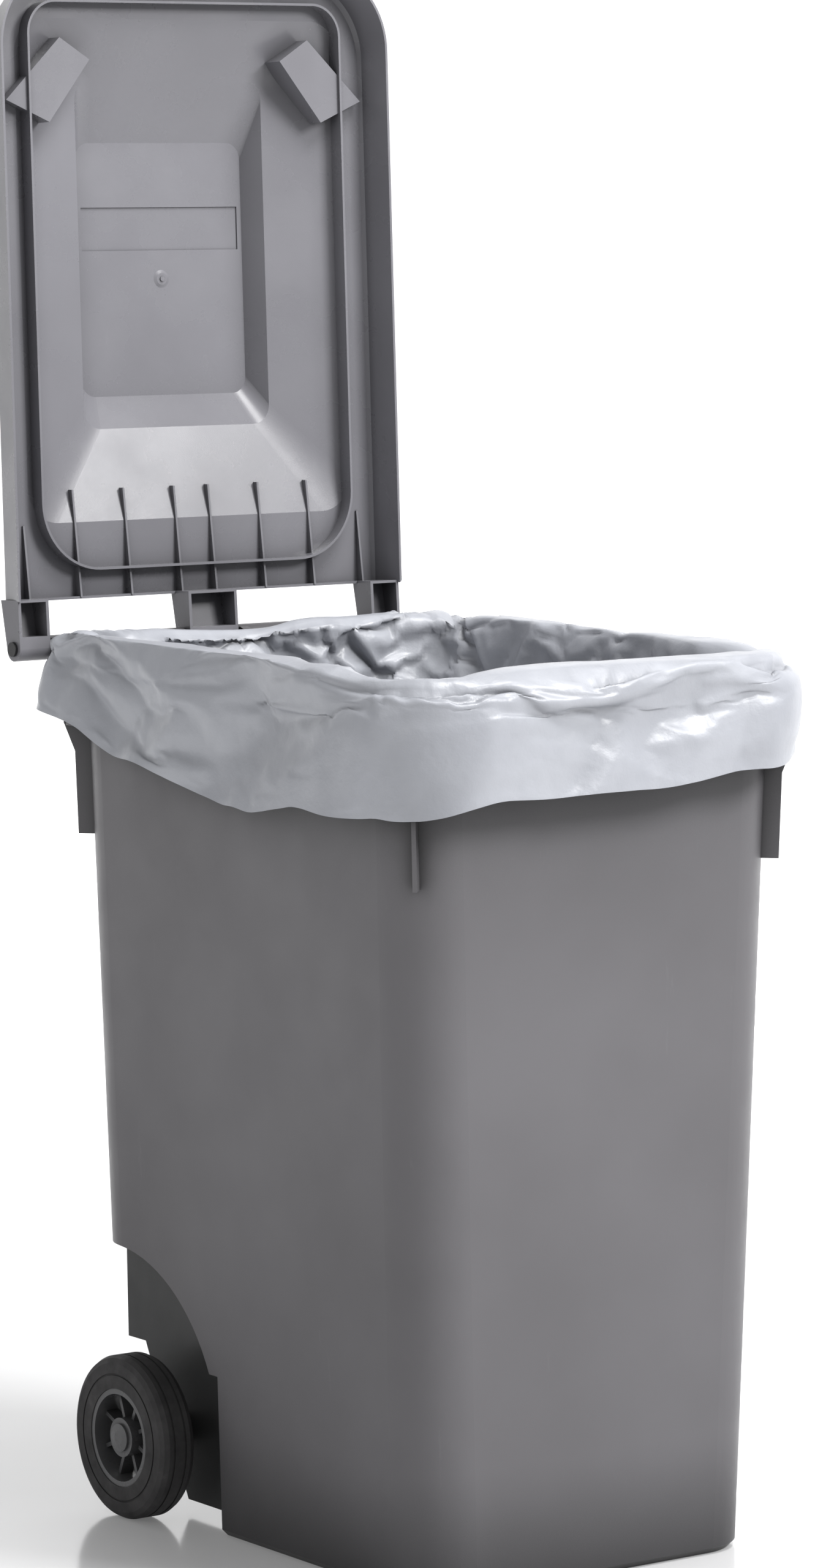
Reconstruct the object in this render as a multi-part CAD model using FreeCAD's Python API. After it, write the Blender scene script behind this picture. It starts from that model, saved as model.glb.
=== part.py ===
import FreeCAD, Part
import math
import os

Vec = FreeCAD.Vector

# A two-wheeled bin with a hinged lid and a film liner. Millimetres.
# +X is the bin's left-to-right width seen from the front, +Y the rear, +Z up.
# The origin lies on the flat base, under the mouth of the tub.

# ---------------------------------------------------------------- tub
TUB_HEIGHT = 1036.0
TUB_BASE_HALF_WIDTH = 244.0
TUB_TOP_HALF_WIDTH = 278.0
TUB_BASE_FRONT = -400.0
TUB_TOP_FRONT = -410.5
TUB_BASE_REAR = 280.5
TUB_TOP_REAR = 300.0
TUB_CORNER = 70.0
TUB_WALL = 4.5
TUB_FLOOR = 6.0
FOOT_BEVEL = 8.0

# ---------------------------------------------------------------- rim
RIM_SIDE_FLANGE = 3.0
RIM_FRONT_FLANGE = 18.5
RIM_REAR_FLANGE = 30.0
RIM_CORNER = 95.0
RIM_REAR_CORNER = 45.0
RIM_TOP = 5.0
APRON_DEPTH = 79.0
APRON_WALL = 4.0
APRON_END_SOLID = 60.0
COMB_TOOTH = 4.0
COMB_PITCH = 155.0
COMB_TEETH = 3
COMB_DROP = 22.0
FIN_THICKNESS = 5.0
FIN_REACH = 21.0
FIN_DROP = 133.0
FIN_FLARE = 13.0
FIN_FLARE_DROP = 32.0

# ---------------------------------------------------------------- wheels and axle
WHEEL_RADIUS = 100.0
TYRE_WIDTH = 48.0
TYRE_SEAT_RADIUS = 60.0
TYRE_SHOULDER = 9.0
TYRE_RING_RADIUS = 76.0
TYRE_GROOVE_WIDTH = 2.5
TYRE_GROOVE_DEPTH = 1.2
RIM_BARREL_WALL = 6.5
RIM_BARREL_INSET = 1.0
SPOKES = 8
SPOKE_THICKNESS = 5.0
SPOKE_DEPTH = 18.0
HUB_RADIUS = 24.0
HUB_INSET = 2.0
BUSH_WALL = 3.0
AXLE_RADIUS = 11.0
AXLE_SHORT = 9.0
AXLE_GROOVE_DEPTH = 2.5
AXLE_GROOVE_WIDTH = 7.0
AXLE_Y = 163.0
LOCK_PIN_RADIUS = 2.9
LOCK_PIN_LENGTH = 5.4
LOCK_SPRING_WALL = 1.1
CAP_RADIUS = 17.0
CAP_THICKNESS = 2.2
RUNNING_FIT = 0.06
SEAT_GAP = 0.1
SIDE_GAP = 0.5
PIN_HOLE_GAP = 0.2

# ---------------------------------------------------------------- wheel arches and axle ribs
POCKET_INSET = 40.0
WHEEL_TO_POCKET = 45.0
ARCH_RADIUS = 213.0
ARCH_BEHIND_AXLE = 67.0
ARCH_ABOVE_AXLE = 10.0
FLOOR_STEP_ABOVE_AXLE = 95.0
CHEEK_THICKNESS = 6.0
INNER_RIB_X = 80.0
CHEEK_FOOT_Z = 14.0
CHEEK_FOOT_LENGTH = 132.0
AXLE_BOSS_RADIUS = 20.0
AXLE_BOSS_LENGTH = 14.0
RIB_REAR_REACH = 80.0
SLEEVE_WALL = 5.5

# ---------------------------------------------------------------- hinge and handles
HAND_GAP = 70.0
HINGE_RISE = 6.0
HANDLE_RADIUS = 15.0
HANDLE_INNER_END = 40.0
HANDLE_OUTER_END = 240.0
BRACKET_THICKNESS = 12.0
BRACKET_LOWER_REACH = 12.0
BRACKET_TOP_STEP = 2.0
HINGE_PIN_RADIUS = 5.0
HINGE_PIN_HEAD_RADIUS = 9.0
HINGE_PIN_HEAD = 3.0
HINGE_PIN_INNER_END = 2.0

# ---------------------------------------------------------------- lid, as closed
LID_OPEN_ANGLE = 92.64
LID_WALL = 3.2
LID_SIDE_CLEARANCE = 6.0
LID_FRONT_CLEARANCE = 8.0
LID_SKIRT_FLARE = 9.0
LID_SKIRT_DROP = 18.0
LID_BORDER_RISE = 26.0
LID_BORDER_BEVEL = 4.0
LID_REAR_CORNER = 4.0
LID_REAR_EDGE = 57.0
LID_LIP = 10.0
DOME_SIDE_MARGIN = 45.0
DOME_START = 150.0
DOME_FRONT_MARGIN = 65.0
DOME_CORNER = 45.0
SHOULDER_RISE = 27.0
SHOULDER_HALF_WIDTH = 142.0
SHOULDER_START = 264.0
SHOULDER_FRONT_MARGIN = 140.0
SHOULDER_CORNER = 26.0
PANEL_RISE = 28.0
PANEL_HALF_WIDTH = 126.0
PANEL_START = 304.0
PANEL_FRONT_MARGIN = 216.0
PANEL_CORNER = 22.0
SEAL_RIB_MARGIN = 55.0
SEAL_RIB_START = 92.0
SEAL_RIB_FRONT_MARGIN = 45.0
SEAL_RIB_HEIGHT = 18.0
SEAL_RIB_WALL = 3.0
SEAL_RIB_FRONT_CORNER = 42.0
SEAL_RIB_REAR_CORNER = 85.0
LONG_RIB_INNER_X = 26.0
LONG_RIB_MARGIN = 37.5
LONG_RIBS_PER_SIDE = 4
LONG_RIB_WALL = 2.6
LONG_RIB_DROP = 13.0
LONG_RIB_END_DROP = 9.0
LONG_RIB_END = 192.0
GRIP_DEPTH = 12.0
GRIP_OUTLINE = [(104.0, 91.0), (147.0, 118.0), (86.0, 195.0), (24.0, 168.0)]
INSERT_HALF_WIDTH = 118.0
INSERT_START = 488.0
INSERT_LENGTH = 54.0
INSERT_DEPTH = 1.8
BOSS_PLACE = 452.0
BOSS_RADIUS = 15.0
BOSS_HEIGHT = 1.6
NUB_RADIUS = 3.0
NUB_HEIGHT = 3.2
ARM_GAP = 4.0
ARM_OUTER_MARGIN = 2.0
CENTRE_ARM_HALF_WIDTH = 36.5
ARM_WALL = 4.0
ARM_DROP = 13.0

# ---------------------------------------------------------------- liner
LINER_FILM = 1.0
LINER_GAP = 0.6
CUFF_DEPTH = 74.0
CUFF_REAR_STOP = 3.0

# ---------------------------------------------------------------- worked-out places
RIM_HALF_WIDTH = TUB_TOP_HALF_WIDTH + RIM_SIDE_FLANGE
RIM_FRONT = TUB_TOP_FRONT - RIM_FRONT_FLANGE
RIM_REAR = TUB_TOP_REAR + RIM_REAR_FLANGE
APRON_Z = TUB_HEIGHT - APRON_DEPTH
HINGE_Y = RIM_REAR + HAND_GAP
HINGE_Z = TUB_HEIGHT + HINGE_RISE
AXLE_Z = WHEEL_RADIUS
POCKET_X = TUB_BASE_HALF_WIDTH - POCKET_INSET
WHEEL_IN = POCKET_X + WHEEL_TO_POCKET
WHEEL_OUT = WHEEL_IN + TYRE_WIDTH
ARCH_Y = AXLE_Y + ARCH_BEHIND_AXLE
ARCH_Z = AXLE_Z + ARCH_ABOVE_AXLE
ARCH_FRONT = ARCH_Y - ARCH_RADIUS
STEP_Z = AXLE_Z + FLOOR_STEP_ABOVE_AXLE
CHEEK_X = POCKET_X - CHEEK_THICKNESS / 2
LID_HALF_WIDTH = RIM_HALF_WIDTH + LID_SIDE_CLEARANCE + LID_WALL
LID_LENGTH = HINGE_Y - RIM_FRONT + LID_FRONT_CLEARANCE + LID_WALL
LID_CORNER = RIM_CORNER + LID_SIDE_CLEARANCE + LID_WALL
SHOULDER_D = LID_BORDER_RISE + LID_BORDER_BEVEL + SHOULDER_RISE
PANEL_D = SHOULDER_D + PANEL_RISE
FAR = 2000.0


# ---------------------------------------------------------------- shape helpers
def rounded_rect(half_width, front, rear, z, front_corner, rear_corner):
    """A closed level outline, symmetric in X, with its own front and rear corner radii."""
    turn = math.sqrt(0.5)
    edges = []
    corners = [
        (half_width - front_corner, front + front_corner, front_corner, 1, -1),
        (half_width - rear_corner, rear - rear_corner, rear_corner, 1, 1),
        (rear_corner - half_width, rear - rear_corner, rear_corner, -1, 1),
        (front_corner - half_width, front + front_corner, front_corner, -1, -1),
    ]
    arcs = []
    for x, y, radius, side, end in corners:
        across = Vec(x + side * radius, y, z)
        middle = Vec(x + side * radius * turn, y + end * radius * turn, z)
        along = Vec(x, y + end * radius, z)
        if side * end < 0:
            arcs.append((along, middle, across))
        else:
            arcs.append((across, middle, along))
    for index, (start, middle, finish) in enumerate(arcs):
        edges.append(Part.Arc(start, middle, finish).toShape())
        edges.append(Part.LineSegment(finish, arcs[(index + 1) % len(arcs)][0]).toShape())
    return Part.Wire(edges)


def loft(wires):
    """A solid through the outlines, straight between each two of them."""
    return Part.makeLoft(wires, True, True)


def box(x_low, x_high, y_low, y_high, z_low, z_high):
    return Part.makeBox(x_high - x_low, y_high - y_low, z_high - z_low, Vec(x_low, y_low, z_low))


def rod_x(radius, x_low, x_high, y, z):
    return Part.makeCylinder(radius, x_high - x_low, Vec(x_low, y, z), Vec(1, 0, 0))


def plate_x(outline, x_low, x_high):
    """A plate between two X planes, whose outline is a list of (y, z) corners."""
    corners = [Vec(x_low, y, z) for y, z in outline]
    face = Part.Face(Part.makePolygon(corners + corners[:1]))
    return face.extrude(Vec(x_high - x_low, 0, 0))


def mirrored(shape):
    """The same shape on the other side of the bin."""
    return shape.mirror(Vec(0, 0, 0), Vec(1, 0, 0))


def both_sides(shape):
    return [shape, mirrored(shape)]


def fuse_all(shapes):
    return shapes[0].multiFuse(shapes[1:]).removeSplitter()


# ---------------------------------------------------------------- tub
def between(base, top, z):
    return base + (top - base) * z / TUB_HEIGHT


def tub_outline(z, inset):
    half_width = between(TUB_BASE_HALF_WIDTH, TUB_TOP_HALF_WIDTH, z) - inset
    front = between(TUB_BASE_FRONT, TUB_TOP_FRONT, z) + inset
    rear = between(TUB_BASE_REAR, TUB_TOP_REAR, z) - inset
    corner = TUB_CORNER - inset
    return rounded_rect(half_width, front, rear, z, corner, corner)


def wheel_arch(margin):
    """The space round one wheel: open outwards, with a round front and a level top."""
    radius = ARCH_RADIUS + margin
    turn = math.sqrt(0.5)
    x = POCKET_X - margin
    front = Vec(x, ARCH_Y - radius, ARCH_Z)
    middle = Vec(x, ARCH_Y - radius * turn, ARCH_Z + radius * turn)
    top = Vec(x, ARCH_Y, ARCH_Z + radius)
    behind = Vec(x, FAR, ARCH_Z + radius)
    under = Vec(x, FAR, -FAR)
    low = Vec(x, ARCH_Y - radius, -FAR)
    edges = [Part.Arc(front, middle, top).toShape()]
    for start, finish in ((top, behind), (behind, under), (under, low), (low, front)):
        edges.append(Part.LineSegment(start, finish).toShape())
    return Part.Face(Part.Wire(edges)).extrude(Vec(FAR, 0, 0))


def axle_space(margin):
    """The space under the raised rear floor."""
    return box(-FAR, FAR, ARCH_FRONT - margin, FAR, -FAR, STEP_Z + margin)


def hollow(shape, margin):
    """The shape without the wheel arches and the space under the rear floor."""
    return shape.cut(both_sides(wheel_arch(margin)) + [axle_space(margin)])


def tub_outside():
    outlines = [tub_outline(0, FOOT_BEVEL), tub_outline(FOOT_BEVEL, 0), tub_outline(TUB_HEIGHT, 0)]
    return hollow(loft(outlines), 0)


def tub_inside(margin, top):
    """The space in the tub, drawn in from its walls by the margin."""
    inset = TUB_WALL + margin
    low = TUB_FLOOR + margin
    outlines = [
        tub_outline(low, inset + FOOT_BEVEL),
        tub_outline(low + FOOT_BEVEL, inset),
        tub_outline(top, inset),
    ]
    return hollow(loft(outlines), inset)


def rim_block(margin, z_low, z_high):
    """A level slab of the rim's outline, grown by the margin."""
    half_width = RIM_HALF_WIDTH + margin
    outline = rounded_rect(
        half_width,
        RIM_FRONT - margin,
        RIM_REAR + margin,
        z_low,
        RIM_CORNER + margin,
        RIM_REAR_CORNER + margin,
    )
    return Part.Face(outline).extrude(Vec(0, 0, z_high - z_low))


def rim():
    """The rim, hollow from below at its front and its rear."""
    block = rim_block(0, APRON_Z, TUB_HEIGHT)
    half_width = RIM_HALF_WIDTH - APRON_END_SOLID
    ceiling = TUB_HEIGHT - RIM_TOP
    front = box(-half_width, half_width, RIM_FRONT + APRON_WALL, TUB_TOP_FRONT, APRON_Z, ceiling)
    rear = box(-half_width, half_width, TUB_TOP_REAR, RIM_REAR - APRON_WALL, APRON_Z, ceiling)
    return block.cut([front, rear])


def comb_teeth():
    """Ribs in and just under the hollow front of the rim, where a lifter's comb takes hold."""
    outline = [
        (TUB_TOP_FRONT, APRON_Z - COMB_DROP),
        (TUB_TOP_FRONT, TUB_HEIGHT - RIM_TOP / 2),
        (RIM_FRONT + APRON_WALL / 2, TUB_HEIGHT - RIM_TOP / 2),
        (RIM_FRONT + APRON_WALL / 2, APRON_Z),
    ]
    middle = (COMB_TEETH - 1) / 2
    places = [(index - middle) * COMB_PITCH for index in range(COMB_TEETH)]
    return [plate_x(outline, x - COMB_TOOTH / 2, x + COMB_TOOTH / 2) for x in places]


def corner_fin(side, end):
    """An upright fin on one corner of the tub, pointing straight out of it, that flares out under the rim."""
    ends = (TUB_BASE_FRONT, TUB_TOP_FRONT) if end < 0 else (TUB_BASE_REAR, TUB_TOP_REAR)
    half = FIN_THICKNESS / 2
    near, far = TUB_CORNER - TUB_WALL / 2, TUB_CORNER + FIN_REACH
    out = Vec(side, end, 0).normalize()
    across = Vec(-out.y, out.x, 0)
    levels = [
        (APRON_Z - FIN_DROP, far),
        (APRON_Z - FIN_FLARE_DROP, far),
        (APRON_Z + APRON_WALL, far + FIN_FLARE),
    ]
    sections = []
    for z, reach in levels:
        x = between(TUB_BASE_HALF_WIDTH, TUB_TOP_HALF_WIDTH, z) - TUB_CORNER
        y = between(*ends, z) - end * TUB_CORNER
        centre = Vec(side * x, y, z)
        corners = [
            centre + out * near + across * half,
            centre + out * reach + across * half,
            centre + out * reach - across * half,
            centre + out * near - across * half,
        ]
        sections.append(Part.makePolygon(corners + corners[:1]))
    return loft(sections)


def axle_rib(x):
    """A lengthwise rib under the rear floor that carries the axle in a boss."""
    outline = [
        (ARCH_FRONT - TUB_WALL / 2, CHEEK_FOOT_Z),
        (ARCH_FRONT + CHEEK_FOOT_LENGTH, CHEEK_FOOT_Z),
        (AXLE_Y + AXLE_BOSS_RADIUS, AXLE_Z - AXLE_BOSS_RADIUS),
        (AXLE_Y + RIB_REAR_REACH, STEP_Z + TUB_WALL / 2),
        (ARCH_FRONT - TUB_WALL / 2, STEP_Z + TUB_WALL / 2),
    ]
    rib = plate_x(outline, x - CHEEK_THICKNESS / 2, x + CHEEK_THICKNESS / 2)
    boss = rod_x(AXLE_BOSS_RADIUS, x - AXLE_BOSS_LENGTH / 2, x + AXLE_BOSS_LENGTH / 2, AXLE_Y, AXLE_Z)
    return rib.fuse(boss)


def handle():
    """One handle bar on the hinge line, with a bracket to the rim at each end."""
    bar = rod_x(HANDLE_RADIUS, HANDLE_INNER_END, HANDLE_OUTER_END, HINGE_Y, HINGE_Z)
    outline = [
        (TUB_TOP_REAR - TUB_WALL / 2, APRON_Z),
        (RIM_REAR - BRACKET_LOWER_REACH / 2, APRON_Z),
        (HINGE_Y - BRACKET_LOWER_REACH, HINGE_Z - HANDLE_RADIUS),
        (HINGE_Y, HINGE_Z - HANDLE_RADIUS / 2),
        (HINGE_Y, HINGE_Z + HANDLE_RADIUS / 2),
        (HINGE_Y - BRACKET_LOWER_REACH, HINGE_Z + HANDLE_RADIUS - BRACKET_TOP_STEP),
        (RIM_REAR, TUB_HEIGHT),
        (TUB_TOP_REAR - TUB_WALL / 2, TUB_HEIGHT),
    ]
    starts = (HANDLE_INNER_END, HANDLE_OUTER_END - BRACKET_THICKNESS)
    brackets = [plate_x(outline, x, x + BRACKET_THICKNESS) for x in starts]
    return fuse_all([bar] + brackets)


def bin_body():
    pieces = [tub_outside(), rim()] + comb_teeth()
    pieces += [corner_fin(side, end) for side in (-1, 1) for end in (-1, 1)]
    pieces += [rib for x in (CHEEK_X, INNER_RIB_X) for rib in both_sides(axle_rib(x))]
    pieces += both_sides(handle())
    axle_hole = rod_x(AXLE_RADIUS + RUNNING_FIT, -FAR, FAR, AXLE_Y, AXLE_Z)
    pin_hole = rod_x(HINGE_PIN_RADIUS + RUNNING_FIT, -FAR, FAR, HINGE_Y, HINGE_Z)
    return fuse_all(pieces).cut([tub_inside(0, TUB_HEIGHT + RIM_TOP), axle_hole, pin_hole])


# ---------------------------------------------------------------- hinge pins
def hinge_pin():
    head_x = LID_HALF_WIDTH - ARM_OUTER_MARGIN + SIDE_GAP
    shank = rod_x(HINGE_PIN_RADIUS, HINGE_PIN_INNER_END, head_x, HINGE_Y, HINGE_Z)
    head = rod_x(HINGE_PIN_HEAD_RADIUS, head_x, head_x + HINGE_PIN_HEAD, HINGE_Y, HINGE_Z)
    return shank.fuse(head).removeSplitter()


# ---------------------------------------------------------------- lid
# The lid is drawn closed: s is the distance forward of the hinge line, d the height above it.
def lid_outline(half_width, start, end, d, front_corner, rear_corner):
    return rounded_rect(half_width, HINGE_Y - end, HINGE_Y - start, HINGE_Z + d, front_corner, rear_corner)


def lid_box(x_low, x_high, start, end, d_low, d_high):
    return box(x_low, x_high, HINGE_Y - end, HINGE_Y - start, HINGE_Z + d_low, HINGE_Z + d_high)


def lid_plate_x(outline, x_low, x_high):
    return plate_x([(HINGE_Y - s, HINGE_Z + d) for s, d in outline], x_low, x_high)


def lid_cover(inset, start):
    """The skirt and the border as one solid, drawn in by the inset."""
    rows = [
        (0.0, -LID_SKIRT_DROP),
        (LID_SKIRT_FLARE, LID_BORDER_RISE - inset),
        (LID_SKIRT_FLARE + LID_BORDER_BEVEL, LID_BORDER_RISE + LID_BORDER_BEVEL - inset),
    ]
    outlines = []
    for taper, d in rows:
        shrink = taper + inset
        corner = LID_CORNER - inset
        outlines.append(
            lid_outline(LID_HALF_WIDTH - shrink, start, LID_LENGTH - shrink, d, corner, LID_REAR_CORNER)
        )
    return loft(outlines)


def lid_dome(inset, drop):
    """The raised middle of the lid: a wide low slope, then a steep step up to a flat panel."""
    border_d = LID_BORDER_RISE + LID_BORDER_BEVEL
    rows = [
        (LID_HALF_WIDTH - DOME_SIDE_MARGIN, DOME_START, DOME_FRONT_MARGIN, border_d, DOME_CORNER),
        (SHOULDER_HALF_WIDTH, SHOULDER_START, SHOULDER_FRONT_MARGIN, SHOULDER_D, SHOULDER_CORNER),
        (PANEL_HALF_WIDTH, PANEL_START, PANEL_FRONT_MARGIN, PANEL_D, PANEL_CORNER),
    ]
    outlines = []
    for half_width, start, front_margin, d, corner in rows:
        end = LID_LENGTH - front_margin - inset
        radius = corner - inset
        outlines.append(lid_outline(half_width - inset, start + inset, end, d - drop, radius, radius))
    return loft(outlines)


def seal_rib():
    """A low wall round the underside that stands inside the mouth of the tub."""
    ring = []
    for inset in (0.0, SEAL_RIB_WALL):
        outline = lid_outline(
            LID_HALF_WIDTH - SEAL_RIB_MARGIN - inset,
            SEAL_RIB_START + inset,
            LID_LENGTH - SEAL_RIB_FRONT_MARGIN - inset,
            LID_BORDER_RISE - SEAL_RIB_HEIGHT,
            SEAL_RIB_FRONT_CORNER - inset,
            SEAL_RIB_REAR_CORNER - inset,
        )
        ring.append(Part.Face(outline).extrude(Vec(0, 0, SEAL_RIB_HEIGHT + LID_BORDER_BEVEL)))
    return ring[0].cut(ring[1])


def long_ribs():
    """Lengthwise ribs under the rear of the lid, deepest at the rear edge."""
    outer_x = LID_HALF_WIDTH - LONG_RIB_MARGIN
    pitch = (outer_x - LONG_RIB_INNER_X) / (LONG_RIBS_PER_SIDE - 1)
    slope = SHOULDER_RISE / (SHOULDER_START - DOME_START)
    ceiling = LID_BORDER_RISE + LID_WALL / 2
    end_rise = (LONG_RIB_END - DOME_START) * slope
    long_outline = [
        (LID_REAR_EDGE + LID_WALL / 2, ceiling),
        (LID_REAR_EDGE + LID_WALL / 2, ceiling - LONG_RIB_DROP),
        (LONG_RIB_END, ceiling + end_rise - LONG_RIB_END_DROP),
        (LONG_RIB_END, ceiling + end_rise),
        (DOME_START, ceiling),
    ]
    short_outline = long_outline[:2] + [(DOME_START, ceiling - LID_WALL), (DOME_START, ceiling)]
    ribs = []
    for index in range(LONG_RIBS_PER_SIDE):
        x = LONG_RIB_INNER_X + index * pitch
        outline = short_outline if index == LONG_RIBS_PER_SIDE - 1 else long_outline
        ribs += both_sides(lid_plate_x(outline, x - LONG_RIB_WALL / 2, x + LONG_RIB_WALL / 2))
    return ribs


def grip_prism(inset, d_low, d_high):
    """One front grip, as an upright prism on its four-cornered outline."""
    places = [(LID_HALF_WIDTH - x, HINGE_Y - LID_LENGTH + s) for x, s in GRIP_OUTLINE]
    corners = [Vec(x, y, HINGE_Z + d_low) for x, y in places]
    wire = Part.makePolygon(corners + corners[:1])
    if inset:
        wire = wire.makeOffset2D(-inset)
    return Part.Face(wire).extrude(Vec(0, 0, d_high - d_low))


def panel_boss():
    """The round boss under the middle of the raised panel, where the lid's mould was filled."""
    ceiling = HINGE_Z + PANEL_D - LID_WALL / 2
    place = Vec(0, HINGE_Y - BOSS_PLACE, ceiling)
    down = Vec(0, 0, -1)
    dish = Part.makeCone(BOSS_RADIUS, BOSS_RADIUS / 2, BOSS_HEIGHT + LID_WALL / 2, place, down)
    nub = Part.makeCylinder(NUB_RADIUS, NUB_HEIGHT + LID_WALL / 2, place, down)
    return dish.fuse(nub)


def lid_arm(x_low, x_high):
    """A lid arm, a channel open downwards, with a barrel on the hinge line."""
    outline = [
        (0.0, HANDLE_RADIUS),
        (LID_REAR_EDGE + LID_WALL, LID_BORDER_RISE),
        (LID_REAR_EDGE + LID_WALL, -ARM_DROP),
        (0.0, -HANDLE_RADIUS),
    ]
    inner = [
        (HANDLE_RADIUS, HANDLE_RADIUS - ARM_WALL),
        (LID_REAR_EDGE, LID_BORDER_RISE - ARM_WALL - LID_WALL),
        (LID_REAR_EDGE, -FAR),
        (HANDLE_RADIUS, -FAR),
    ]
    arm = lid_plate_x(outline, x_low, x_high)
    channel = lid_plate_x(inner, x_low + ARM_WALL, x_high - ARM_WALL)
    barrel = rod_x(HANDLE_RADIUS, x_low, x_high, HINGE_Y, HINGE_Z)
    return arm.cut(channel).fuse(barrel)


def lid_arms():
    outer_low = HANDLE_OUTER_END + ARM_GAP
    outer_high = LID_HALF_WIDTH - ARM_OUTER_MARGIN
    centre_arm = lid_arm(-CENTRE_ARM_HALF_WIDTH, CENTRE_ARM_HALF_WIDTH)
    return both_sides(lid_arm(outer_low, outer_high)) + [centre_arm]


def lid_closed():
    outside = lid_cover(0.0, LID_REAR_EDGE).fuse(lid_dome(0.0, 0.0))
    inside = lid_cover(LID_WALL, 0.0).fuse(lid_dome(LID_WALL / 2, LID_WALL))
    top = PANEL_D + LID_WALL
    grips = both_sides(grip_prism(0.0, GRIP_DEPTH, top))
    rear_lip = lid_box(
        -LID_HALF_WIDTH + DOME_SIDE_MARGIN,
        LID_HALF_WIDTH - DOME_SIDE_MARGIN,
        LID_REAR_EDGE,
        LID_REAR_EDGE + LID_WALL,
        LID_BORDER_RISE - LID_LIP,
        LID_BORDER_RISE,
    )
    features = [seal_rib(), rear_lip, panel_boss()] + long_ribs() + grips
    shell = outside.cut(inside)
    kept = [feature.common(outside) for feature in features]
    recesses = both_sides(grip_prism(LID_WALL, GRIP_DEPTH + LID_WALL, top + LID_WALL))
    insert_d = PANEL_D - LID_WALL
    insert = lid_box(
        -INSERT_HALF_WIDTH,
        INSERT_HALF_WIDTH,
        INSERT_START,
        INSERT_START + INSERT_LENGTH,
        insert_d - LID_WALL,
        insert_d + INSERT_DEPTH,
    )
    pin_hole = rod_x(HINGE_PIN_RADIUS + RUNNING_FIT, -FAR, FAR, HINGE_Y, HINGE_Z)
    return fuse_all([shell] + kept + lid_arms()).cut(recesses + [insert, pin_hole])


def lid():
    """The lid, turned up about its hinge line to where it stands open."""
    shape = lid_closed()
    shape.rotate(Vec(0, HINGE_Y, HINGE_Z), Vec(-1, 0, 0), LID_OPEN_ANGLE)
    return shape


# ---------------------------------------------------------------- liner
def bin_liner():
    """A film bag in the tub, turned over the rim, with a cuff round the front and the sides."""
    film_top = TUB_HEIGHT + LINER_GAP + LINER_FILM
    bag = tub_inside(LINER_GAP, film_top)
    band = rim_block(LINER_GAP + LINER_FILM, TUB_HEIGHT - CUFF_DEPTH, film_top)
    under_band = rim_block(LINER_GAP, TUB_HEIGHT - CUFF_DEPTH, TUB_HEIGHT + LINER_GAP)
    half_width = HANDLE_OUTER_END + ARM_GAP
    behind = box(-half_width, half_width, RIM_REAR - CUFF_REAR_STOP, FAR, -FAR, FAR)
    cuff = band.cut([under_band, behind])
    return bag.fuse(cuff).cut(tub_inside(LINER_GAP + LINER_FILM, film_top + LINER_FILM)).removeSplitter()


# ---------------------------------------------------------------- axle and wheels, right-hand side
def axle():
    end = WHEEL_OUT - AXLE_SHORT
    rod = rod_x(AXLE_RADIUS, -end, end, AXLE_Y, AXLE_Z)
    groove_x = lock_x() - AXLE_GROOVE_WIDTH / 2
    cutter = rod_x(AXLE_RADIUS + SIDE_GAP, groove_x, groove_x + AXLE_GROOVE_WIDTH, AXLE_Y, AXLE_Z)
    core = rod_x(AXLE_RADIUS - AXLE_GROOVE_DEPTH, groove_x, groove_x + AXLE_GROOVE_WIDTH, AXLE_Y, AXLE_Z)
    return rod.cut(both_sides(cutter.cut(core)))


def axle_sleeve():
    low = CHEEK_X + AXLE_BOSS_LENGTH / 2 + SIDE_GAP
    high = WHEEL_IN + HUB_INSET - SIDE_GAP
    outer = rod_x(AXLE_RADIUS + SLEEVE_WALL, low, high, AXLE_Y, AXLE_Z)
    return outer.cut(rod_x(AXLE_RADIUS + RUNNING_FIT, low, high, AXLE_Y, AXLE_Z))


def turned(profile):
    """A solid of revolution about the axle, from (x, radius) corners."""
    corners = [Vec(x, AXLE_Y, AXLE_Z + radius) for x, radius in profile]
    face = Part.Face(Part.makePolygon(corners + corners[:1]))
    return face.revolve(Vec(0, AXLE_Y, AXLE_Z), Vec(1, 0, 0), 360)


def tyre():
    """A solid tyre with rounded shoulders, a ring groove in each side and two grooves in the tread."""
    shoulder = TYRE_SHOULDER
    ring = turned([
        (WHEEL_IN, TYRE_SEAT_RADIUS),
        (WHEEL_OUT, TYRE_SEAT_RADIUS),
        (WHEEL_OUT, WHEEL_RADIUS - shoulder),
        (WHEEL_OUT - shoulder / 3, WHEEL_RADIUS - shoulder / 3),
        (WHEEL_OUT - shoulder, WHEEL_RADIUS),
        (WHEEL_IN + shoulder, WHEEL_RADIUS),
        (WHEEL_IN + shoulder / 3, WHEEL_RADIUS - shoulder / 3),
        (WHEEL_IN, WHEEL_RADIUS - shoulder),
    ])
    grooves = [
        groove_ring(WHEEL_OUT - TYRE_GROOVE_DEPTH, WHEEL_OUT + SIDE_GAP, TYRE_RING_RADIUS, TYRE_GROOVE_WIDTH),
        groove_ring(WHEEL_IN - SIDE_GAP, WHEEL_IN + TYRE_GROOVE_DEPTH, TYRE_RING_RADIUS, TYRE_GROOVE_WIDTH),
    ]
    for place in (1 / 3, 2 / 3):
        low = WHEEL_IN + TYRE_WIDTH * place - TYRE_GROOVE_WIDTH / 2
        floor = WHEEL_RADIUS - TYRE_GROOVE_DEPTH
        grooves.append(groove_ring(low, low + TYRE_GROOVE_WIDTH, floor, TYRE_GROOVE_DEPTH + SIDE_GAP))
    return ring.cut(grooves)


def groove_ring(x_low, x_high, radius, height):
    """The space of a groove round the axle, from a radius outwards."""
    return turned([(x_low, radius), (x_high, radius), (x_high, radius + height), (x_low, radius + height)])


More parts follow.
